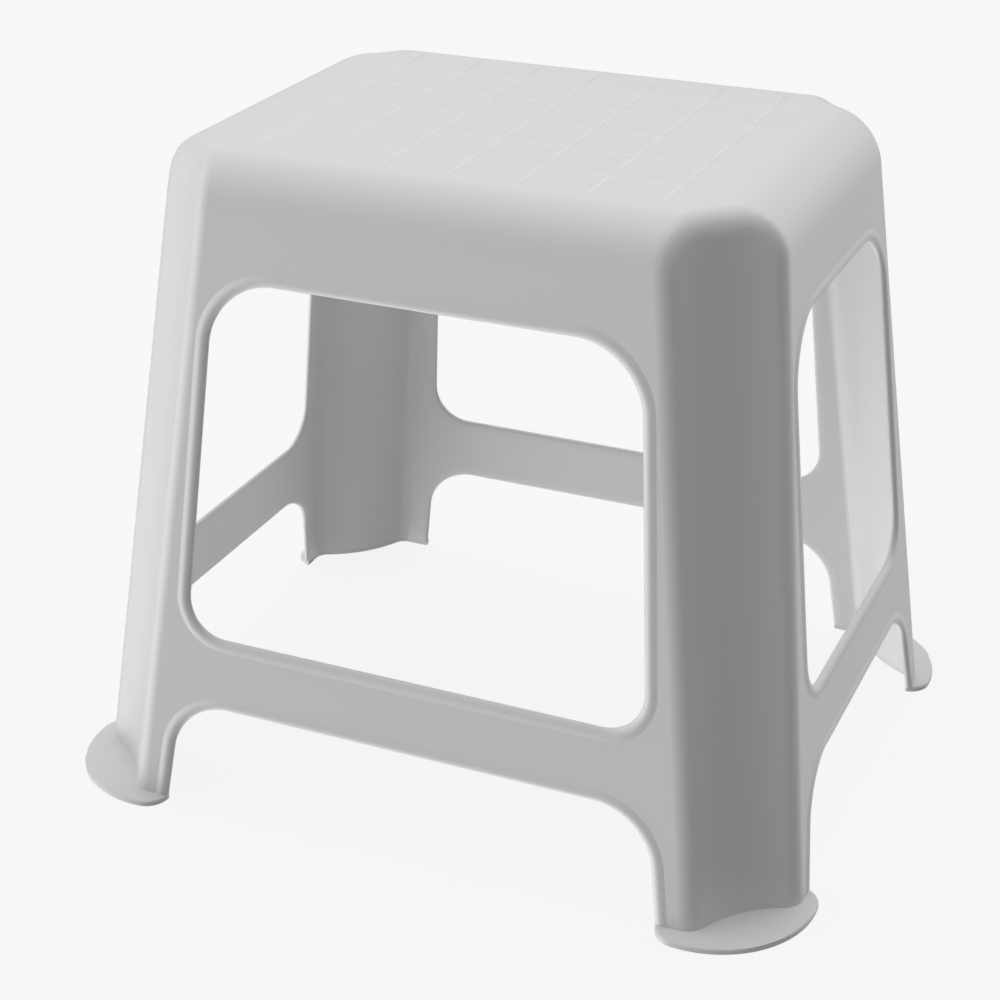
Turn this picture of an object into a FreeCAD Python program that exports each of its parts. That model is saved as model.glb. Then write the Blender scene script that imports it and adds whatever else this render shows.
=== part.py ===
import FreeCAD, Part
import math
import os
import Sketcher
from FreeCAD import Vector

# Stacking stool: a one-piece moulding with four flared, hollow legs.
# Frame: Z up, Y to the back, X to the right. The origin is the middle of the stool on the floor.
# The wall form is built once, as an outer form and a hollow, and divided into its named zones.

os.makedirs("parts", exist_ok=True)
doc = FreeCAD.newDocument("stacking_stool")

# Driving sizes, in millimetres and degrees
SIZES = [
    ("height", 300.0, "floor to the flat of the seat"),
    ("base_width", 347.0, "outside width of the walls at the floor"),
    ("base_depth", 286.0, "outside depth of the walls at the floor"),
    ("top_width", 276.6, "width of the walls carried up to seat height"),
    ("top_depth", 218.6, "depth of the walls carried up to seat height"),
    ("wall", 2.7, "wall thickness"),
    ("edge_round", 24.0, "rounding between the seat and the walls"),
    ("flute_radius", 57.0, "radius of the hollow flute down each leg corner"),
    ("flute_depth", 31.0, "from the square corner diagonally in to the flute"),
    ("ridge_round", 9.5, "rounding of the two ridges beside a flute"),
    ("flute_top_round", 11.0, "rounding where a flute runs up into the seat"),
    ("apron_depth", 49.3, "flat of the seat down to the top of a large opening"),
    ("stretcher_top", 86.9, "height of the top of the stretchers"),
    ("stretcher_bottom", 52.7, "height of the top of the arches"),
    ("front_opening_width", 218.2, "width of the front opening at the stretcher"),
    ("front_opening_lean", 4.6, "lean of the front opening's sides"),
    ("side_opening_width", 154.6, "width of the side opening at the stretcher"),
    ("side_opening_lean", 3.2, "lean of the side opening's sides"),
    ("front_arch_width", 240.6, "width of the front arch at the floor"),
    ("front_arch_lean", 8.1, "lean of the front arch's sides"),
    ("side_arch_width", 183.1, "width of the side arch at the floor"),
    ("side_arch_lean", 12.4, "lean of the side arch's sides"),
    ("opening_round_top", 31.0, "corner rounding at the top of an opening"),
    ("opening_round_low", 18.0, "corner rounding at the bottom of an opening"),
    ("arch_round", 28.0, "corner rounding of an arch"),
    ("rim_width", 5.3, "width of the rim round an opening or arch"),
    ("rim_proud", 0.6, "how far the rim stands out of the wall"),
    ("rim_bevel", 1.3, "bevel of the rim's outside edge"),
    ("foot_radius", 46.5, "radius of the outline of a foot plate"),
    ("foot_centre_side", 39.9, "centre of that outline, in from the side wall at the floor"),
    ("foot_centre_end", 37.8, "centre of that outline, in from the front or rear wall at the floor"),
    ("foot_thickness", 2.5, "thickness of a foot plate"),
    ("foot_corner_round", 10.5, "rounding of a foot plate's corners"),
    ("grip_pitch", 30.6, "spacing of the raised lines on the seat"),
    ("grip_line_width", 2.2, "width of a raised line"),
    ("grip_line_height", 0.25, "height of a raised line"),
    ("rib_pitch", 61.2, "spacing of the ribs under the seat"),
    ("rib_depth", 12.0, "depth of a rib under the seat"),
    ("rib_thickness", 1.8, "thickness of a rib"),
]

sheet = doc.addObject("Spreadsheet::Sheet", "Sizes")
for row, (alias, size, note) in enumerate(SIZES, start=1):
    sheet.set("A%d" % row, alias)
    sheet.set("B%d" % row, str(size))
    sheet.set("C%d" % row, note)
    sheet.setAlias("B%d" % row, alias)
doc.recompute()

# Expressions used in several places
HEIGHT = "Sizes.height"
HALF_X = "(Sizes.base_width / 2)"
HALF_Y = "(Sizes.base_depth / 2)"
RUN_X = "((Sizes.base_width - Sizes.top_width) / 2)"
RUN_Y = "((Sizes.base_depth - Sizes.top_depth) / 2)"
SEAT_EDGE = "(Sizes.height - Sizes.edge_round)"
OPENING_TOP = "(Sizes.height - Sizes.apron_depth)"
MIDDLE = "((Sizes.stretcher_top + %s) / 2)" % OPENING_TOP
LEAN_X = "atan(%s / %s)" % (RUN_X, HEIGHT)
LEAN_Y = "atan(%s / %s)" % (RUN_Y, HEIGHT)
REACH = "(Sizes.base_width + Sizes.base_depth)"
BELOW = "-10"
FOOT = "Sizes.foot_thickness"
FLAT_X = "(Sizes.top_width / 2 - Sizes.edge_round)"
FLAT_Y = "(Sizes.top_depth / 2 - Sizes.edge_round)"


def value(expression):
    # the number that an expression on the sheet stands for
    return float(sheet.evalExpression(expression))


def plane_of(body, role):
    return [plane for plane in body.Origin.OriginFeatures if plane.Role == role][0]


def polygon_sketch(body, role, corners):
    # closed outline whose corners are pairs of expressions, each bound to its own dimension
    sketch = body.newObject("Sketcher::SketchObject", body.Name + "_outline")
    sketch.AttachmentSupport = [(plane_of(body, role), "")]
    sketch.MapMode = "FlatFace"
    points = [Vector(value(across), value(up), 0) for across, up in corners]
    for index, point in enumerate(points):
        sketch.addGeometry(Part.LineSegment(point, points[(index + 1) % len(points)]))
    for index in range(len(points)):
        sketch.addConstraint(Sketcher.Constraint("Coincident", index, 2, (index + 1) % len(points), 1))
    for index, (across, up) in enumerate(corners):
        for kind, number, text in (("DistanceX", points[index].x, across), ("DistanceY", points[index].y, up)):
            place = sketch.addConstraint(Sketcher.Constraint(kind, -1, 1, index, 1, number))
            sketch.setExpression("Constraints[%d]" % place, text)
    return sketch


def round_edges(body, base, edges, radius):
    # rolling-ball rounding of the chosen edges of a feature
    rounded = body.newObject("PartDesign::Fillet", body.Name + "_round")
    rounded.Base = (base, edges)
    rounded.setExpression("Radius", radius)
    doc.recompute()
    return rounded


def bevel_edges(body, base, edges, size):
    bevelled = body.newObject("PartDesign::Chamfer", body.Name + "_bevel")
    bevelled.Base = (base, edges)
    bevelled.setExpression("Size", size)
    doc.recompute()
    return bevelled


def edges_where(shape, test):
    return ["Edge%d" % (number + 1) for number, edge in enumerate(shape.Edges) if test(edge)]


def middle_of(edge):
    return edge.valueAt((edge.FirstParameter + edge.LastParameter) / 2)


def long_prism(name, role, corners, top_round=None, low_round=None):
    # outline pushed right through the stool both ways, with its upper and lower corners rounded
    body = doc.addObject("PartDesign::Body", name)
    sketch = polygon_sketch(body, role, corners)
    pad = body.newObject("PartDesign::Pad", name + "_pad")
    pad.Profile = sketch
    pad.SideType = "Symmetric"
    pad.setExpression("Length", REACH)
    doc.recompute()
    feature = pad
    along = Vector(0, 1, 0) if role == "XZ_Plane" else Vector(1, 0, 0)
    height = (pad.Shape.BoundBox.ZMax + pad.Shape.BoundBox.ZMin) / 2
    for radius, upper in ((top_round, True), (low_round, False)):
        if radius is None:
            continue

        def is_corner(edge):
            lengthwise = abs(edge.tangentAt(edge.FirstParameter).dot(along)) > 0.99
            return lengthwise and (middle_of(edge).z > height) == upper

        feature = round_edges(body, feature, edges_where(feature.Shape, is_corner), radius)
    body.Tip = feature
    return body


def leaning_outline(half_floor, lean, low, top, outset="0"):
    # symmetric outline whose sides lean in; half_floor is measured on the floor line
    slope = "tan(%s * 1deg)" % lean
    offset = "(%s) / cos(%s * 1deg)" % (outset, lean)
    half_low = "(%s + %s - (%s) * %s)" % (half_floor, offset, low, slope)
    half_top = "(%s + %s - (%s) * %s)" % (half_floor, offset, top, slope)
    return [("-" + half_low, low), (half_low, low), (half_top, top), ("-" + half_top, top)]


def wall_form(name, inset):
    # the rounded block that the walls follow, taken in by an inset on every side
    forms = []
    for role, half, run in (("XZ_Plane", HALF_X, RUN_X), ("YZ_Plane", HALF_Y, RUN_Y)):
        lean = "atan(%s / %s) / 1deg" % (run, HEIGHT)
        top = "(%s - (%s))" % (HEIGHT, inset)
        corners = leaning_outline(half, "(" + lean + ")", BELOW, top, "-(%s)" % inset)
        forms.append(long_prism("%s_%s" % (name, role[:2].lower()), role, corners,
                                "Sizes.edge_round - (%s)" % inset))
    common = doc.addObject("Part::MultiCommon", name)
    common.Shapes = forms
    doc.recompute()
    return common


def mirrored(name, source, across_x, across_y):
    # copy of a piece on the other side of one or both middle planes
    result = source
    for wanted, normal, suffix in ((across_x, Vector(1, 0, 0), "_x"), (across_y, Vector(0, 1, 0), "_y")):
        if not wanted:
            continue
        mirror = doc.addObject("Part::Mirroring", name + suffix)
        mirror.Source = result
        mirror.Base = Vector(0, 0, 0)
        mirror.Normal = normal
        result = mirror
    doc.recompute()
    return result


def at_every_corner(name, source):
    # a piece of the front right corner, and its copies at the other three
    return [mirrored("%s_%s" % (name, corner), source, side_x < 0, side_y > 0)
            for corner, side_x, side_y in CORNERS]


CORNERS = [("front_left", -1, -1), ("front_right", 1, -1), ("rear_left", -1, 1), ("rear_right", 1, 1)]


def along_corner(name, body, sketch):
    # push an outline drawn at the floor along the leaning square corner of the front right leg
    pad = body.newObject("PartDesign::Pad", name + "_pad")
    pad.Profile = sketch
    pad.UseCustomVector = True
    pad.SideType = "Two sides"
    pad.setExpression("Direction.x", "-" + RUN_X)
    pad.setExpression("Direction.y", RUN_Y)
    pad.setExpression("Direction.z", HEIGHT)
    pad.setExpression("Length", HEIGHT + " * 1.2")
    pad.setExpression("Length2", HEIGHT + " * 0.2")
    body.Tip = pad
    doc.recompute()
    return body


def tie(sketch, element, point, across, up):
    # hold one point of a sketch at a place given by two expressions
    for kind, text in (("DistanceX", across), ("DistanceY", up)):
        if text is None:
            continue
        index = sketch.addConstraint(Sketcher.Constraint(kind, -1, 1, element, point, value(text)))
        sketch.setExpression("Constraints[%d]" % index, text)


def tie_radius(sketch, element, radius):
    index = sketch.addConstraint(Sketcher.Constraint("Radius", element, value(radius)))
    sketch.setExpression("Constraints[%d]" % index, radius)


FLUTE_OUT = "((Sizes.flute_radius - Sizes.flute_depth) / sqrt(2))"
FLUTE_X = "(%s + %s)" % (HALF_X, FLUTE_OUT)
FLUTE_Y = "(-%s - %s)" % (HALF_Y, FLUTE_OUT)


def round_bar(name, inset):
    # plain round bar along the front right corner: a flute without its ridges
    body = doc.addObject("PartDesign::Body", name)
    sketch = body.newObject("Sketcher::SketchObject", name + "_outline")
    sketch.AttachmentSupport = [(plane_of(body, "XY_Plane"), "")]
    sketch.MapMode = "FlatFace"
    centre = Vector(value(FLUTE_X), value(FLUTE_Y), 0)
    radius = "(Sizes.flute_radius + (%s))" % inset
    sketch.addGeometry(Part.Circle(centre, Vector(0, 0, 1), value(radius)))
    tie(sketch, 0, 3, FLUTE_X, FLUTE_Y)
    tie_radius(sketch, 0, radius)
    return along_corner(name, body, sketch)


def ridged_bar(name, inset):
    # bar along the front right corner whose inner side is the flute with a rounded ridge at each end
    body = doc.addObject("PartDesign::Body", name)
    sketch = body.newObject("Sketcher::SketchObject", name + "_outline")
    sketch.AttachmentSupport = [(plane_of(body, "XY_Plane"), "")]
    sketch.MapMode = "FlatFace"
    wall_x = "(%s - (%s) / cos(%s))" % (HALF_X, inset, LEAN_X)
    wall_y = "(-%s + (%s) / cos(%s))" % (HALF_Y, inset, LEAN_Y)
    flute_radius = "(Sizes.flute_radius + (%s))" % inset
    ridge_radius = "((Sizes.ridge_round - (%s)) / cos(%s))" % (inset, LEAN_X)
    flute = Vector(value(FLUTE_X), value(FLUTE_Y), 0)
    big = value(flute_radius)
    small = value(ridge_radius)
    side = value(wall_x)
    face = value(wall_y)
    margin = 2 * small
    # centres of the two ridges: each touches its wall and the flute
    front_ridge = Vector(flute.x - math.sqrt((big + small) ** 2 - (face + small - flute.y) ** 2), face + small, 0)
    side_ridge = Vector(side - small, flute.y + math.sqrt((big + small) ** 2 - (flute.x - side + small) ** 2), 0)
    on_face = Vector(front_ridge.x, face, 0)
    on_side = Vector(side, side_ridge.y, 0)
    front_touch = flute + (front_ridge - flute) * (big / (big + small))
    side_touch = flute + (side_ridge - flute) * (big / (big + small))
    outside = Vector(side + margin, face - margin, 0)
    below_face = Vector(on_face.x, outside.y, 0)
    beside = Vector(outside.x, on_side.y, 0)
    bisector = Vector(-1, 1, 0).normalize()
    middle = flute + bisector * big

    def halfway(centre, first, second):
        return centre + ((first - centre) + (second - centre)).normalize() * small

    sketch.addGeometry(Part.LineSegment(below_face, on_face))
    sketch.addGeometry(Part.Arc(on_face, halfway(front_ridge, on_face, front_touch), front_touch))
    sketch.addGeometry(Part.Arc(side_touch, middle, front_touch))
    sketch.addGeometry(Part.Arc(side_touch, halfway(side_ridge, side_touch, on_side), on_side))
    sketch.addGeometry(Part.LineSegment(on_side, beside))
    sketch.addGeometry(Part.LineSegment(beside, outside))
    sketch.addGeometry(Part.LineSegment(outside, below_face))
    for kind, *where in (("Coincident", 0, 2, 1, 1), ("Tangent", 1, 2, 2, 2), ("Tangent", 2, 1, 3, 1),
                         ("Coincident", 3, 2, 4, 1), ("Coincident", 4, 2, 5, 1), ("Coincident", 5, 2, 6, 1),
                         ("Coincident", 6, 2, 0, 1), ("Vertical", 1, 1, 1, 3), ("Horizontal", 3, 2, 3, 3),
                         ("Vertical", 0), ("Horizontal", 4), ("Vertical", 5), ("Horizontal", 6)):
        sketch.addConstraint(Sketcher.Constraint(kind, *where))
    tie(sketch, 2, 3, FLUTE_X, FLUTE_Y)
    tie_radius(sketch, 2, flute_radius)
    tie_radius(sketch, 1, ridge_radius)
    tie_radius(sketch, 3, ridge_radius)
    tie(sketch, 1, 1, None, wall_y)
    tie(sketch, 3, 2, wall_x, None)
    tie(sketch, 5, 2, "%s + 2 * %s" % (wall_x, ridge_radius), "%s - 2 * %s" % (wall_y, ridge_radius))
    return along_corner(name, body, sketch)


def is_flute(face):
    # a flute's wall is the only curved face that runs nearly the whole height
    return face.Surface.TypeId != "Part::GeomPlane" and face.BoundBox.ZLength > value(HEIGHT) / 2


def seat_form(name, block, inset):
    # block with a plain flute down each corner; its two ridges run up over the seat's edge, meet above
    # the flute, and open out there to a larger radius
    bars = at_every_corner(name + "_flute", round_bar(name + "_bar", inset))
    cut = take_away(name + "_cut", block, combine("MultiFuse", name + "_flutes", bars))
    ridge = value("Sizes.ridge_round - (%s)" % inset)
    wide = value("Sizes.flute_top_round - (%s)" % inset)
    over_the_edge = value("Sizes.height - Sizes.edge_round / 2")
    edges = []
    for number, edge in enumerate(cut.Shape.Edges, start=1):
        beside = [is_flute(face) for face in cut.Shape.ancestorsOfType(edge, Part.Face)]
        if beside.count(True) == 1 and middle_of(edge).z > 0:
            ends = [edge.valueAt(edge.FirstParameter).z, edge.valueAt(edge.LastParameter).z]
            edges.append((number, *[wide if end > over_the_edge else ridge for end in ends]))
    rounded = doc.addObject("Part::Fillet", name)
    rounded.Base = cut
    rounded.Edges = edges
    doc.recompute()
    return rounded


def leg_form(name, block, inset):
    # block with a ridged flute down each corner
    bars = at_every_corner(name + "_flute", ridged_bar(name + "_bar", inset))
    return take_away(name, block, combine("MultiFuse", name + "_flutes", bars))


def combine(kind, name, shapes):
    # boolean of several shapes: MultiCommon or MultiFuse
    result = doc.addObject("Part::" + kind, name)
    result.Shapes = shapes
    doc.recompute()
    return result


def take_away(name, base, tool):
    result = doc.addObject("Part::Cut", name)
    result.Base = base
    result.Tool = tool
    doc.recompute()
    return result


def opening_bars(facing, role):
    # through-bars for one pair of opposite walls: the clear openings, and the seats their rims fill
    lean = "Sizes.%s_opening_lean" % facing
    half = opening_floor(facing)
    rim = "Sizes.rim_width"
    opening = long_prism(facing + "_opening", role,
                         leaning_outline(half, lean, "Sizes.stretcher_top", OPENING_TOP),
                         "Sizes.opening_round_top", "Sizes.opening_round_low")
    opening_seat = long_prism(facing + "_opening_seat", role,
                              leaning_outline(half, lean, "(Sizes.stretcher_top - %s)" % rim,
                                              "(%s + %s)" % (OPENING_TOP, rim), rim),
                              "Sizes.opening_round_top + " + rim, "Sizes.opening_round_low + " + rim)
    lean = "Sizes.%s_arch_lean" % facing
    half = "(Sizes.%s_arch_width / 2)" % facing
    arch = long_prism(facing + "_arch", role,
                      leaning_outline(half, lean, BELOW, "Sizes.stretcher_bottom"), "Sizes.arch_round")
    arch_seat = long_prism(facing + "_arch_seat", role,
                           leaning_outline(half, lean, "Sizes.foot_thickness",
                                           "(Sizes.stretcher_bottom + %s)" % rim, rim),
                           "Sizes.arch_round + " + rim)
    return {"opening": (opening, opening_seat), "arch": (arch, arch_seat)}


def opening_floor(facing):
    # half width of an opening if its sides ran down to the floor
    lean = "tan(Sizes.%s_opening_lean * 1deg)" % facing
    return "(Sizes.%s_opening_width / 2 + Sizes.stretcher_top * %s)" % (facing, lean)


def space(name, x_side, y_side, low, top):
    # block of space on one side of the middle planes, between two heights; a side of 0 takes both
    box = doc.addObject("Part::Box", name)
    for axis, side, length in (("x", x_side, "Length"), ("y", y_side, "Width")):
        box.setExpression(length, REACH if side else REACH + " * 2")
        box.setExpression("Placement.Base." + axis, "0 mm" if side > 0 else "-" + REACH)
    box.setExpression("Height", "%s - %s" % (top, low))
    box.setExpression("Placement.Base.z", low)
    return box


def rim(name, bars, band, half):
    # ring round an opening, standing a little out of the wall, its outside edge bevelled
    clear, seat = bars
    ring = take_away(name + "_bar", seat, clear)
    raw = combine("MultiCommon", name + "_raw", [ring, band, half])
    body = doc.addObject("PartDesign::Body", name)
    body.BaseFeature = raw
    doc.recompute()
    base = body.Group[0]
    opening_faces = clear.Shape.Shells[0]
    outside_faces = proud_block.Shape.Shells[0]

    def is_outside_edge(edge):
        point = Part.Vertex(middle_of(edge))
        return opening_faces.distToShape(point)[0] < 0.01 and outside_faces.distToShape(point)[0] < 0.01

    body.Tip = bevel_edges(body, base, edges_where(base.Shape, is_outside_edge), "Sizes.rim_bevel")
    return body


def foot_plate(name, hollow):
    # thin plate round the foot of the front right leg, filling its flute and standing out past the walls
    body = doc.addObject("PartDesign::Body", name + "_blank")
    sketch = body.newObject("Sketcher::SketchObject", name + "_outline")
    sketch.AttachmentSupport = [(plane_of(body, "XY_Plane"), "")]
    sketch.MapMode = "FlatFace"
    inner = ("Sizes.front_arch_width / 2", "-Sizes.side_arch_width / 2")
    centre = ("%s - Sizes.foot_centre_side" % HALF_X, "-%s + Sizes.foot_centre_end" % HALF_Y)
    corner = Vector(value(inner[0]), value(inner[1]), 0)
    middle = Vector(value(centre[0]), value(centre[1]), 0)
    radius = value("Sizes.foot_radius")
    front_end = Vector(corner.x, middle.y - math.sqrt(radius ** 2 - (corner.x - middle.x) ** 2), 0)
    side_end = Vector(middle.x + math.sqrt(radius ** 2 - (corner.y - middle.y) ** 2), corner.y, 0)
    outermost = middle + Vector(1, -1, 0).normalize() * radius
    sketch.addGeometry(Part.LineSegment(corner, front_end))
    sketch.addGeometry(Part.Arc(front_end, outermost, side_end))
    sketch.addGeometry(Part.LineSegment(side_end, corner))
    for kind, *where in (("Coincident", 0, 2, 1, 1), ("Coincident", 1, 2, 2, 1), ("Coincident", 2, 2, 0, 1),
                         ("Vertical", 0), ("Horizontal", 2)):
        sketch.addConstraint(Sketcher.Constraint(kind, *where))
    tie(sketch, 0, 1, *inner)
    tie(sketch, 1, 3, *centre)
    tie_radius(sketch, 1, "Sizes.foot_radius")
    pad = body.newObject("PartDesign::Pad", name + "_pad")
    pad.Profile = sketch
    pad.setExpression("Length", FOOT)
    doc.recompute()

    def is_outer_corner(edge):
        point = middle_of(edge)
        upright = abs(edge.tangentAt(edge.FirstParameter).z) > 0.99
        return upright and math.hypot(point.x - corner.x, point.y - corner.y) > 1

    body.Tip = round_edges(body, pad, edges_where(pad.Shape, is_outer_corner), "Sizes.foot_corner_round")
    return take_away(name, body, hollow)


def bar(name, length, width, depth, x, y, z):
    # straight bar, its sizes and its lower corner given as expressions
    box = doc.addObject("Part::Box", name)
    for key, text in (("Length", length), ("Width", width), ("Height", depth), ("Placement.Base.x", x),
                      ("Placement.Base.y", y), ("Placement.Base.z", z)):
        box.setExpression(key, text)
    return box


def lattice(name, pitch, thickness, depth, base, overrun):
    # crossing bars at one spacing, as many as the flat of the seat takes, joined into one piece
    half_x = "(%s + %s)" % (FLAT_X, overrun)
    half_y = "(%s + %s)" % (FLAT_Y, overrun)
    bars = []
    for step in steps(FLAT_X, pitch):
        middle = "%d * %s" % (step, pitch)
        bars.append(bar("%s_across_%d" % (name, len(bars)), thickness, "2 * " + half_y, depth,
                        "%s - %s / 2" % (middle, thickness), "-" + half_y, base))
    for step in steps(FLAT_Y, pitch):
        middle = "%d * %s" % (step, pitch)
        bars.append(bar("%s_along_%d" % (name, len(bars)), "2 * " + half_x, thickness, depth,
                        "-" + half_x, "%s - %s / 2" % (middle, thickness), base))
    return combine("MultiFuse", name, bars)


def steps(half, pitch):
    # whole steps of a pitch to either side of the middle
    count = int(value(half) / value(pitch))
    return range(-count, count + 1)


# The walls: outer form less the hollow, with the seats of all rims cut through
block = wall_form("block", "0")
hollow_block = wall_form("hollow_block", "Sizes.wall")
proud_block = wall_form("proud_block", "-Sizes.rim_proud")
hollow = leg_form("hollow", hollow_block, "Sizes.wall")
shell = take_away("shell", leg_form("outer", block, "0"), hollow)
seat_hollow = seat_form("seat_hollow", hollow_block, "Sizes.wall")
seat_shell = take_away("seat_shell", seat_form("seat_outer", block, "0"), seat_hollow)
rim_band = take_away("rim_band", proud_block, hollow_block)
bars = {"front": opening_bars("front", "XZ_Plane"), "side": opening_bars("side", "YZ_Plane")}
rim_seats = [bars[facing][kind][1] for facing in bars for kind in bars[facing]]
walls = take_away("walls", shell, combine("MultiFuse", "rim_seats", rim_seats))

# Spaces that divide the walls into legs, aprons and stretchers
between_legs = {}
for facing, role in (("front", "XZ_Plane"), ("side", "YZ_Plane")):
    split = "(%s - Sizes.opening_round_top)" % opening_floor(facing)
    outline = leaning_outline(split, "Sizes.%s_opening_lean" % facing, BELOW, HEIGHT)
    between_legs[facing] = long_prism(facing + "_between", role, outline)
between = combine("MultiFuse", "between", list(between_legs.values()))

# Pieces of the front and the right, and their copies at the back and on the left
pieces = {}
for facing, place, other, side_x, side_y in (("front", "front", "rear", 0, -1), ("side", "right", "left", 1, 0)):
    upper = space(place + "_upper", side_x, side_y, MIDDLE, SEAT_EDGE)
    lower = space(place + "_lower", side_x, side_y, FOOT, MIDDLE)
    whole = space(place + "_whole", side_x, side_y, BELOW, HEIGHT)
    made = {
        "apron": combine("MultiCommon", "apron_" + place, [walls, between_legs[facing], upper]),
        "stretcher": combine("MultiCommon", "stretcher_" + place, [walls, between_legs[facing], lower]),
        "rim_opening": rim("rim_opening_" + place, bars[facing]["opening"], rim_band, whole),
        "rim_arch": rim("rim_arch_" + place, bars[facing]["arch"], rim_band, whole),
    }
    for kind, piece in made.items():
        pieces["%s_%s" % (kind, place)] = piece
        pieces["%s_%s" % (kind, other)] = mirrored("%s_%s" % (kind, other), piece, side_x > 0, side_y < 0)
quarter = space("quarter", 1, -1, FOOT, SEAT_EDGE)
leg = combine("MultiCommon", "leg", [take_away("leg_walls", walls, between), quarter])
foot = foot_plate("foot_plate", hollow)
for kind, piece in (("leg", leg), ("foot_plate", foot)):
    for (corner, side_x, side_y), copy in zip(CORNERS, at_every_corner(kind, piece)):
        pieces["%s_%s" % (kind, corner)] = copy

seat_space = space("seat_space", 0, 0, SEAT_EDGE, HEIGHT + " * 2")
pieces["seat_panel"] = combine("MultiCommon", "seat_panel", [seat_shell, seat_space])
pieces["seat_grip_lines"] = lattice("seat_grip_lines", "Sizes.grip_pitch", "Sizes.grip_line_width",
                                    "Sizes.grip_line_height", HEIGHT, "0")
rib_blank = lattice("rib_blank", "Sizes.rib_pitch", "Sizes.rib_thickness", "Sizes.rib_depth",
                    "Sizes.height - Sizes.wall - Sizes.rib_depth", "2 * Sizes.edge_round")
pieces["underseat_ribs"] = combine("MultiCommon", "underseat_ribs", [rib_blank, seat_hollow])

doc.recompute()
for item in doc.Objects:
    faults = [word for word in item.State if word in ("Invalid", "Error")]
    if faults:
        raise RuntimeError("%s did not build: %s" % (item.Name, faults))
for node, item in pieces.items():
    shape = item.Shape
    if shape.isNull() or not shape.isValid() or len(shape.Solids) != 1:
        raise RuntimeError("%s is not one sound solid (%d)" % (node, len(shape.Solids)))
for node, item in pieces.items():
    item.Label = node
    item.Shape.exportStep("parts/%s.step" % node)
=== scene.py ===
import math

import bpy
from mathutils import Matrix, Vector


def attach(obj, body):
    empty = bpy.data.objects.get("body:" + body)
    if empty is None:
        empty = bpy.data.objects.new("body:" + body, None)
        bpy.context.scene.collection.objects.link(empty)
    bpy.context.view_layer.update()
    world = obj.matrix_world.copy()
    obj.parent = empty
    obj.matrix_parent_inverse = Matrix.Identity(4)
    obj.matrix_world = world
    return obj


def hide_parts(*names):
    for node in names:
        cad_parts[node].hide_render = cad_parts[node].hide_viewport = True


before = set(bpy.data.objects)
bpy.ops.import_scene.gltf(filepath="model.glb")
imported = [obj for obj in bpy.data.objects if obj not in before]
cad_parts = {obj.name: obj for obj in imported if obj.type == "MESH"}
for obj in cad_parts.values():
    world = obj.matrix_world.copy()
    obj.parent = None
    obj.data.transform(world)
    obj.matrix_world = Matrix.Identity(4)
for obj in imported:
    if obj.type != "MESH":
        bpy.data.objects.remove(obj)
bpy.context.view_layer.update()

MM = 0.001


# ---- Shader wiring ----

class Wire:
    """One output of a shader node; arithmetic on it adds Math nodes."""

    tree = None

    def __init__(self, socket):
        self.socket = socket

    @classmethod
    def node(cls, kind, settings=None, values=None, out=0):
        made = cls.tree.nodes.new(kind)
        for name, setting in (settings or {}).items():
            setattr(made, name, setting)
        for name, given in (values or {}).items():
            if isinstance(given, Wire):
                cls.tree.links.new(given.socket, made.inputs[name])
            else:
                made.inputs[name].default_value = given
        return cls(made.outputs[out])

    def maths(self, operation, first, second):
        return Wire.node("ShaderNodeMath", {"operation": operation}, {0: first, 1: second})

    def __add__(self, other):
        return self.maths("ADD", self, other)

    def __radd__(self, other):
        return self.maths("ADD", other, self)

    def __mul__(self, other):
        return self.maths("MULTIPLY", self, other)

    def __rmul__(self, other):
        return self.maths("MULTIPLY", other, self)

    def __pow__(self, other):
        return self.maths("POWER", self, other)

    def at_least(self, low):
        return self.maths("MAXIMUM", self, low)


# sockets of a Mix node that mixes colours
MIX_AMOUNT, MIX_UNDER, MIX_OVER, MIXED_COLOUR = 0, 6, 7, 2


def new_material(name):
    material = bpy.data.materials.new(name)
    material.use_nodes = True
    material.node_tree.nodes.clear()
    Wire.tree = material.node_tree
    return material


def finish_shader(shader, output="ShaderNodeOutputMaterial"):
    made = Wire.tree.nodes.new(output)
    Wire.tree.links.new(shader.socket, made.inputs["Surface"])


def place_on_piece():
    return Wire.node("ShaderNodeTexCoord", out="Object")


def noise(place, scale, detail=2.0):
    return Wire.node("ShaderNodeTexNoise", {"noise_dimensions": "3D"},
                     {"Vector": place, "Scale": scale, "Detail": detail})


def grey(tone, level):
    # a grey of one level, made lighter or darker by a tone
    return Wire.node("ShaderNodeMix", {"data_type": "RGBA", "blend_type": "MULTIPLY"},
                     {MIX_AMOUNT: 1.0, MIX_UNDER: (level, level, level, 1.0), MIX_OVER: tone},
                     out=MIXED_COLOUR)


# ---- Plastic: one satin moulding plastic, with a little more or less polish; a lighter level paints highlight on the raised lines, a darker level paints shade on the foot plates ----

def moulded_plastic(name, level, polish):
    # faint flow clouds in tone and gloss, and a fine moulded grain; polish smooths the gloss
    material = new_material(name)
    place = place_on_piece()
    clouds = noise(place, scale=9.0, detail=3.0)
    flow = noise(place, scale=40.0)
    grain = noise(place, scale=1500.0)
    tone = 0.98 + 0.03 * clouds + 0.01 * flow
    gloss = 0.33 - polish + 0.05 * clouds + 0.04 * flow
    bump = Wire.node("ShaderNodeBump", None, {"Strength": 0.04, "Distance": 0.2 * MM, "Height": grain})
    finish_shader(Wire.node("ShaderNodeBsdfPrincipled", None,
                            {"Base Color": grey(tone, level), "Roughness": gloss, "Normal": bump,
                             "IOR": 1.46}))
    return material


PLASTIC = moulded_plastic("moulded_plastic", level=0.62, polish=0.0)
# the raised lines: a lighter level, a painted highlight where they stand proud and catch the light, and a
# little more polish
LINE_PLASTIC_PAINTED_HIGHLIGHT = moulded_plastic("line_plastic_painted_highlight", level=0.655, polish=0.05)
# the foot plates: a darker level, painted shade near the floor, and a little less polish
FOOT_PLASTIC_PAINTED_SHADE = moulded_plastic("foot_plastic_painted_shade", level=0.575, polish=-0.04)

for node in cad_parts:
    for slot in bpy.data.objects[node].material_slots:
        slot.material = PLASTIC


# ---- Modelling steps used on every new piece ----

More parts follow.
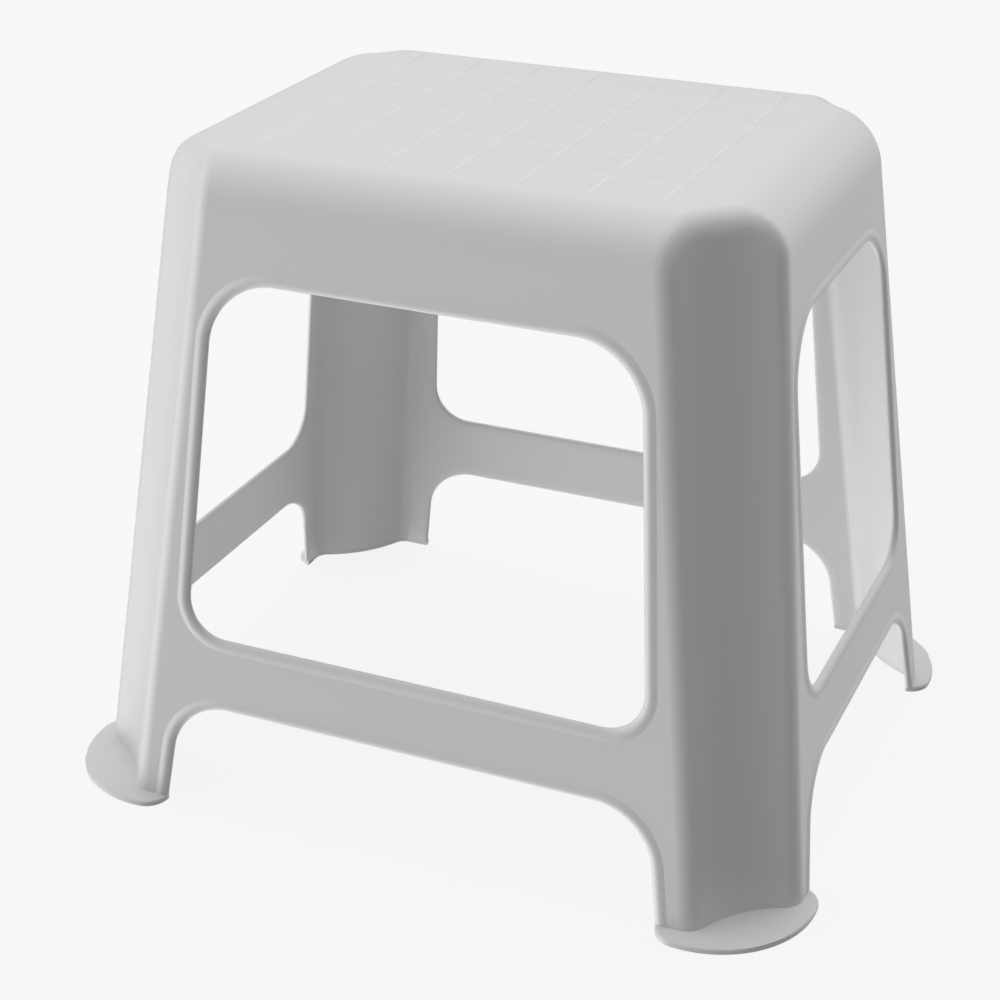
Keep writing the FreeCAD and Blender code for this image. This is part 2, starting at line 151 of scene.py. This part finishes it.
def add(primitive, name, **where):
    # the primitive becomes a piece of its own, in edit mode with nothing selected
    bpy.ops.object.select_all(action="DESELECT")
    primitive(**where)
    piece = bpy.context.object
    piece.name = piece.data.name = name
    bpy.ops.object.mode_set(mode="EDIT")
    bpy.ops.mesh.select_all(action="DESELECT")
    return piece


def own_copy(piece, name):
    copy = piece.copy()
    copy.data = piece.data.copy()
    copy.name = copy.data.name = name
    bpy.context.scene.collection.objects.link(copy)
    return copy


def pick(piece, kind, test):
    # select, by place, the corners, edges or faces of the piece being edited
    bpy.ops.object.mode_set(mode="EDIT")
    bpy.ops.mesh.select_mode(type=kind)
    bpy.ops.mesh.select_all(action="DESELECT")
    bpy.ops.object.mode_set(mode="OBJECT")
    corners = piece.data.vertices
    if kind == "VERT":
        for corner in corners:
            corner.select = test(corner.co)
    elif kind == "EDGE":
        for edge in piece.data.edges:
            edge.select = test(*[corners[end].co for end in edge.vertices])
    else:
        for face in piece.data.polygons:
            face.select = test(face.center, face.normal)
    bpy.ops.object.mode_set(mode="EDIT")


def face_outwards():
    bpy.ops.mesh.select_all(action="SELECT")
    bpy.ops.mesh.normals_make_consistent(inside=False)


def settle(piece, turn=(0, 0, 0), place=(0, 0, 0)):
    # leave edit mode and put the piece where it belongs, with its object at the origin
    if bpy.context.object and bpy.context.object.mode == "EDIT":
        bpy.ops.object.mode_set(mode="OBJECT")
    bpy.ops.object.select_all(action="DESELECT")
    piece.select_set(True)
    bpy.context.view_layer.objects.active = piece
    piece.rotation_euler = turn
    piece.location = place
    bpy.ops.object.transform_apply(location=True, rotation=True, scale=True)


def hand_in(piece, *nodes, plastic=PLASTIC):
    # smooth the piece, give it its plastic, and let it stand for its CAD nodes
    settle(piece)
    bpy.ops.object.shade_smooth_by_angle(angle=math.radians(35))
    piece.data.materials.clear()
    piece.data.materials.append(plastic)
    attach(piece, "root")
    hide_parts(*nodes)


# ---- Rims: a bead with a rounded section round each opening and arch ----

SEAT_TOP = 300.0 * MM
FOOT_THICKNESS = 2.5 * MM

# how far the outside of a wall stands from the middle of the stool
WALL_AT_FLOOR = {"front": 143.0 * MM, "side": 173.5 * MM}
WALL_AT_SEAT = {"front": 109.3 * MM, "side": 138.3 * MM}

# clear openings and arches: half width at the low end, and how many degrees the ends lean
OPENING_SHAPE = {"front": (109.1 * MM, 4.6), "side": (77.3 * MM, 3.2)}
OPENING_LOW, OPENING_TOP = 86.9 * MM, 250.7 * MM
OPENING_ROUND_LOW, OPENING_ROUND_TOP = 18.0 * MM, 31.0 * MM
ARCH_SHAPE = {"front": (120.3 * MM, 8.1), "side": (91.55 * MM, 12.4)}
ARCH_TOP, ARCH_ROUND = 52.7 * MM, 28.0 * MM
ARCH_CUT_OFF = 25.0 * MM
ROUND_STEPS = 20

# the bead's section, in mm: how far from the opening's edge, and how far out of the wall
BEAD_OUTSIDE = [(6.4, -0.12), (5.8, 0.04), (5.2, 0.16), (4.6, 0.32), (4.0, 0.48), (3.3, 0.58), (2.6, 0.57),
                (1.9, 0.42), (1.25, 0.15), (0.7, -0.2), (0.3, -0.6), (0.07, -1.05), (0.0, -1.5)]
BEAD_INSIDE = [(6.4, -2.7), (5.6, -2.74), (1.5, -2.74), (0.85, -2.6), (0.38, -2.3), (0.1, -1.95), (0.0, -1.5)]
BEAD_REACH = BEAD_OUTSIDE[0][0] * MM
BEAD_FRONT, BEAD_BACK = BEAD_OUTSIDE[0][1] * MM, BEAD_INSIDE[0][1] * MM


def upright_sheet(name, low, top, half_low, half_top):
    # a flat sheet in the plane of X and Z, with ends that lean
    piece = add(bpy.ops.mesh.primitive_plane_add, name, size=1.0)
    settle(piece, turn=(math.pi / 2, 0, 0))
    for start, half, level in ((0.5, half_top, top), (-0.5, half_low, low)):
        pick(piece, "VERT", lambda corner: abs(corner.z - start) < 1 * MM)
        bpy.ops.transform.resize(value=(2 * half, 1, 1), center_override=(0, 0, 0))
        bpy.ops.transform.translate(value=(0, 0, level - start))
    return piece


def half_section(section, way):
    # step one face inwards along half of the bead's section, and open it
    for (across, out), (next_across, next_out) in zip(section, section[1:]):
        bpy.ops.mesh.inset(thickness=(across - next_across) * MM, depth=way * (next_out - out) * MM,
                           use_even_offset=True)
    bpy.ops.mesh.delete(type="FACE")


def rim_bead(name, facing, low, top, half_low, lean, round_top, round_low=None):
    # low and top: heights of the clear opening; half_low: its half width at the low end
    tilt = math.atan((WALL_AT_FLOOR[facing] - WALL_AT_SEAT[facing]) / SEAT_TOP)
    lean = math.radians(lean)
    half_low = half_low + BEAD_REACH / math.cos(lean) + BEAD_REACH * math.tan(lean)
    half_top = half_low - (top - low + 2 * BEAD_REACH) * math.tan(lean)
    low, top = low / math.cos(tilt) - BEAD_REACH, top / math.cos(tilt) + BEAD_REACH
    piece = upright_sheet(name, low, top, half_low, half_top)

    for radius, upper in ((round_top, True), (round_low, False)):
        if radius is None:
            continue
        half_angle = (math.pi / 2 + (lean if upper else -lean)) / 2
        pick(piece, "VERT", lambda corner: (corner.z > (low + top) / 2) == upper)
        bpy.ops.mesh.bevel(affect="VERTICES", offset=(radius + BEAD_REACH) / math.tan(half_angle),
                           segments=ROUND_STEPS)

    bpy.ops.mesh.select_all(action="SELECT")
    bpy.ops.transform.translate(value=(0, -BEAD_FRONT, 0))
    bpy.ops.mesh.extrude_region_move(TRANSFORM_OT_translate={"value": (0, BEAD_FRONT - BEAD_BACK, 0)})
    face_outwards()
    for section, way in ((BEAD_OUTSIDE, 1), (BEAD_INSIDE, -1)):
        pick(piece, "FACE", lambda centre, normal: normal.y * way < -0.99 and abs(centre.x) < 1 * MM)
        half_section(section, way)
    bpy.ops.mesh.select_all(action="SELECT")
    bpy.ops.mesh.remove_doubles(threshold=0.02 * MM)
    face_outwards()

    quarter = 0 if facing == "front" else math.pi / 2
    place = Vector((0, -WALL_AT_FLOOR[facing], 0))
    place.rotate(Matrix.Rotation(quarter, 3, "Z"))
    settle(piece, turn=(-tilt, 0, quarter), place=place)
    return piece


def opening_bead(name, facing):
    half_low, lean = OPENING_SHAPE[facing]
    return rim_bead(name, facing, OPENING_LOW, OPENING_TOP, half_low, lean,
                    OPENING_ROUND_TOP, OPENING_ROUND_LOW)


def arch_bead(name, facing):
    # made too long, then cut off level with the top of the foot plates
    half_low, lean = ARCH_SHAPE[facing]
    half_low += ARCH_CUT_OFF * math.tan(math.radians(lean))
    piece = rim_bead(name, facing, -ARCH_CUT_OFF, ARCH_TOP, half_low, lean, ARCH_ROUND)
    bpy.ops.object.mode_set(mode="EDIT")
    bpy.ops.mesh.select_all(action="SELECT")
    bpy.ops.mesh.bisect(plane_co=(0, 0, FOOT_THICKNESS), plane_no=(0, 0, 1), clear_inner=True, use_fill=True)
    settle(piece)
    return piece


for facing, near, far in (("front", "front", "rear"), ("side", "right", "left")):
    for form, make_bead in (("opening", opening_bead), ("arch", arch_bead)):
        bead = make_bead("rim_bead_%s_%s" % (form, near), facing)
        bead_opposite = own_copy(bead, "rim_bead_%s_%s" % (form, far))
        settle(bead_opposite, turn=(0, 0, math.pi))
        hand_in(bead_opposite, "rim_%s_%s" % (form, far))
        hand_in(bead, "rim_%s_%s" % (form, near))


# ---- Raised lines on the seat: low strips with sloping sides ----

GRIP_PITCH = 30.6 * MM
GRIP_HALF_WIDTH = 1.1 * MM
GRIP_HALF_LENGTH = {"x": 114.3 * MM, "y": 85.3 * MM}
GRIP_LINES_EACH_SIDE = {"x": 3, "y": 2}
GRIP_HEIGHT = 0.25 * MM
GRIP_SLOPE = 0.7 * MM
GRIP_ROOT = 0.1 * MM


def grip_lines():
    # one sheet cut along both sides of every line, the squares between taken out, then raised
    piece = add(bpy.ops.mesh.primitive_plane_add, "grip_lines", size=2.0)
    bpy.ops.mesh.select_all(action="SELECT")
    bpy.ops.transform.resize(value=(GRIP_HALF_LENGTH["x"], GRIP_HALF_LENGTH["y"], 1),
                             center_override=(0, 0, 0))
    bpy.ops.transform.translate(value=(0, 0, SEAT_TOP - GRIP_ROOT))
    for across, count in ((Vector((1, 0, 0)), GRIP_LINES_EACH_SIDE["x"]),
                          (Vector((0, 1, 0)), GRIP_LINES_EACH_SIDE["y"])):
        for step in range(-count, count + 1):
            for side in (-GRIP_HALF_WIDTH, GRIP_HALF_WIDTH):
                bpy.ops.mesh.select_all(action="SELECT")
                bpy.ops.mesh.bisect(plane_co=across * (step * GRIP_PITCH + side), plane_no=across)

    def off_line(place):
        return abs(place - round(place / GRIP_PITCH) * GRIP_PITCH) > GRIP_HALF_WIDTH

    pick(piece, "FACE", lambda centre, normal: off_line(centre.x) and off_line(centre.y))
    bpy.ops.mesh.delete(type="FACE")
    bpy.ops.mesh.select_all(action="SELECT")
    bpy.ops.mesh.extrude_region_move(TRANSFORM_OT_translate={"value": (0, 0, GRIP_ROOT)})
    bpy.ops.mesh.inset(thickness=GRIP_SLOPE, depth=GRIP_HEIGHT, use_even_offset=True)
    face_outwards()
    return piece


# the lines take the lighter plastic: a painted highlight on the raised strips
hand_in(grip_lines(), "seat_grip_lines", plastic=LINE_PLASTIC_PAINTED_HIGHLIGHT)


# ---- Foot plates: the flat plate with a rounded upper edge ----

FOOT_EDGE_ROUND = 1.3 * MM
FOOT_EDGE_STEPS = 4
PAST_WALL = 0.1 * MM


def on_outer_edge(corner):
    # on the top of a plate, and outside the walls
    on_top = corner.z > FOOT_THICKNESS - 0.01 * MM
    past_side = abs(corner.x) > WALL_AT_FLOOR["side"] + PAST_WALL
    past_front = abs(corner.y) > WALL_AT_FLOOR["front"] + PAST_WALL
    return on_top and (past_side or past_front)


def foot_plate(corner_name):
    # the solid's own form, its corners joined and its flat faces made whole, then its edge rounded
    piece = own_copy(bpy.data.objects["foot_plate_" + corner_name], "foot_plate_soft_" + corner_name)
    settle(piece)
    bpy.ops.object.mode_set(mode="EDIT")
    bpy.ops.mesh.select_all(action="SELECT")
    bpy.ops.mesh.remove_doubles(threshold=0.002 * MM)
    bpy.ops.mesh.dissolve_limited(angle_limit=math.radians(0.5))
    pick(piece, "EDGE", lambda *ends: all(on_outer_edge(end) for end in ends))
    bpy.ops.mesh.bevel(affect="EDGES", offset=FOOT_EDGE_ROUND, segments=FOOT_EDGE_STEPS, clamp_overlap=False)
    face_outwards()
    return piece


# each plate takes the darker plastic: painted shade near the floor
for corner_name in ("front_left", "front_right", "rear_left", "rear_right"):
    hand_in(foot_plate(corner_name), "foot_plate_" + corner_name, plastic=FOOT_PLASTIC_PAINTED_SHADE)


# ---- Floor and backdrop ----

def pale_sheet():
    material = new_material("pale_floor")
    tone = 0.99 + 0.02 * noise(place_on_piece(), scale=3.0)
    finish_shader(Wire.node("ShaderNodeBsdfPrincipled", None,
                            {"Base Color": grey(tone, level=0.06), "Roughness": 0.9,
                             "Specular IOR Level": 0.0, "Emission Color": (1, 1, 1, 1),
                             "Emission Strength": 0.87}))
    return material


PALE = pale_sheet()
FLOOR_WIDTH, FLOOR_GAP = 16.0, 0.3 * MM
BACKDROP_RADIUS, BACKDROP_HEIGHT, BACKDROP_MIDDLE = 7.9, 12.0, 5.9


def studio_sheet(primitive, name, **where):
    # pale sheet that is seen, but takes no light from the stool
    primitive(**where)
    sheet = bpy.context.object
    sheet.name = name
    sheet.data.materials.append(PALE)
    sheet.visible_diffuse = sheet.visible_glossy = sheet.visible_shadow = False


studio_sheet(bpy.ops.mesh.primitive_plane_add, "floor", size=FLOOR_WIDTH, location=(0, 0, -FLOOR_GAP))
studio_sheet(bpy.ops.mesh.primitive_cylinder_add, "backdrop", vertices=96, radius=BACKDROP_RADIUS,
             depth=BACKDROP_HEIGHT, end_fill_type="NOTHING", location=(0, 0, BACKDROP_MIDDLE))


# ---- Light: soft patches all round, far away ----

# degrees round from the front, degrees up, strength
SOFT_PATCHES = [
    (0, 90, 3.52), (0, -90, 4.58), (-90, -35, 0.66), (-60, -35, 3.14), (30, -35, 0.61), (150, -35, 0.78),
    (-150, 0, 0.32), (-90, 0, 0.28), (-60, 0, 2.85), (30, 0, 0.49), (120, 0, 0.14), (150, 0, 1.59),
    (-150, 35, 1.40), (-90, 35, 1.40), (-60, 35, 1.14), (60, 35, 0.40), (90, 35, 0.19), (150, 35, 2.18),
]
PATCH_TIGHTNESS = 10.0


def direction(turn, rise):
    turn, rise = math.radians(turn), math.radians(rise)
    return Vector((math.sin(turn) * math.cos(rise), -math.cos(turn) * math.cos(rise), math.sin(rise)))


def studio_light():
    world = bpy.data.worlds.new("studio")
    bpy.context.scene.world = world
    world.use_nodes = True
    world.node_tree.nodes.clear()
    Wire.tree = world.node_tree
    outlook = Wire.node("ShaderNodeTexCoord", out="Generated")
    light = 0.0
    for turn, rise, strength in SOFT_PATCHES:
        towards = Wire.node("ShaderNodeVectorMath", {"operation": "DOT_PRODUCT"},
                            {0: outlook, 1: direction(turn, rise)}, out="Value")
        light = light + strength * towards.at_least(0.0) ** PATCH_TIGHTNESS
    finish_shader(Wire.node("ShaderNodeBackground", None, {"Strength": light}), "ShaderNodeOutputWorld")


studio_light()
bpy.context.scene.view_settings.view_transform = "Standard"


# ---- Camera: to the right of the front and raised, aimed a little left of the middle ----

CAMERA_TURN, CAMERA_RISE, CAMERA_ROLL = 23.432, 26.017, math.radians(0.126)
CAMERA_AIM = Vector((-11.387, -4.996, 115.192)) * MM
CAMERA_DISTANCE = 1014.46 * MM
CAMERA_LENS, CAMERA_FILM = 76.71, 36


def photo_camera():
    back = direction(CAMERA_TURN, CAMERA_RISE)
    right = Vector((0, 0, 1)).cross(back).normalized()
    up = back.cross(right)
    rolled_right = right * math.cos(CAMERA_ROLL) + up * math.sin(CAMERA_ROLL)
    rolled_up = up * math.cos(CAMERA_ROLL) - right * math.sin(CAMERA_ROLL)
    lens = bpy.data.cameras.new("camera")
    lens.sensor_width = CAMERA_FILM
    lens.lens = CAMERA_LENS
    camera = bpy.data.objects.new("camera", lens)
    bpy.context.scene.collection.objects.link(camera)
    turned = Matrix((rolled_right, rolled_up, back)).transposed().to_4x4()
    camera.matrix_world = Matrix.Translation(CAMERA_AIM + back * CAMERA_DISTANCE) @ turned
    bpy.context.scene.camera = camera


photo_camera()
